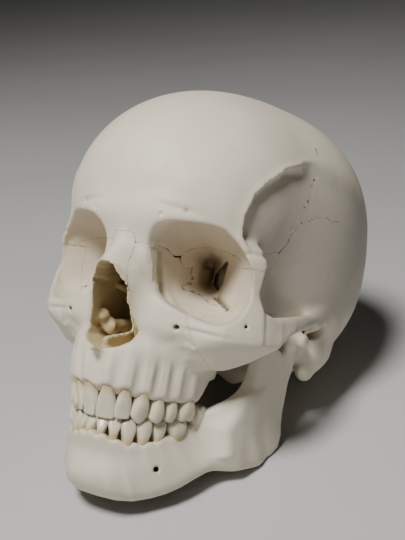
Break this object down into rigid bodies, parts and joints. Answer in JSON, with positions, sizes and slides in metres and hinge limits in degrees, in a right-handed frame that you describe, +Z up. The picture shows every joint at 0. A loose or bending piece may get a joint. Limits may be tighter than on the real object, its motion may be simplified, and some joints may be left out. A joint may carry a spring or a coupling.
{
  "type": "human skull with lower jaw",
  "caption": "Life-size human skull with its lower jaw closed, a still display model of dry bone resting on the jaw angles and the back of the head.",
  "frame": {"origin": "centre of the bounding box at floor level, under the skull as it rests", "axes": "+Z up, +X to the skull's own left, -Y towards the face; the skull lies tipped back about 27 degrees from the ear-to-eye-socket plane"},
  "size_m": [0.138, 0.2188, 0.1671],
  "materials": {
    "skull_bone": "matte"
  },
  "bodies": {
    "root": {"frontal": "skull_bone", "parietal_left": "skull_bone", "parietal_right": "skull_bone", "occipital": "skull_bone", "temporal_left": "skull_bone", "temporal_right": "skull_bone", "sphenoid": "skull_bone", "zygomatic_left": "skull_bone", "zygomatic_right": "skull_bone", "nasal_bones": "skull_bone", "maxilla_left": "skull_bone", "maxilla_right": "skull_bone", "mandible": "skull_bone"}
  },
  "joints": []
}
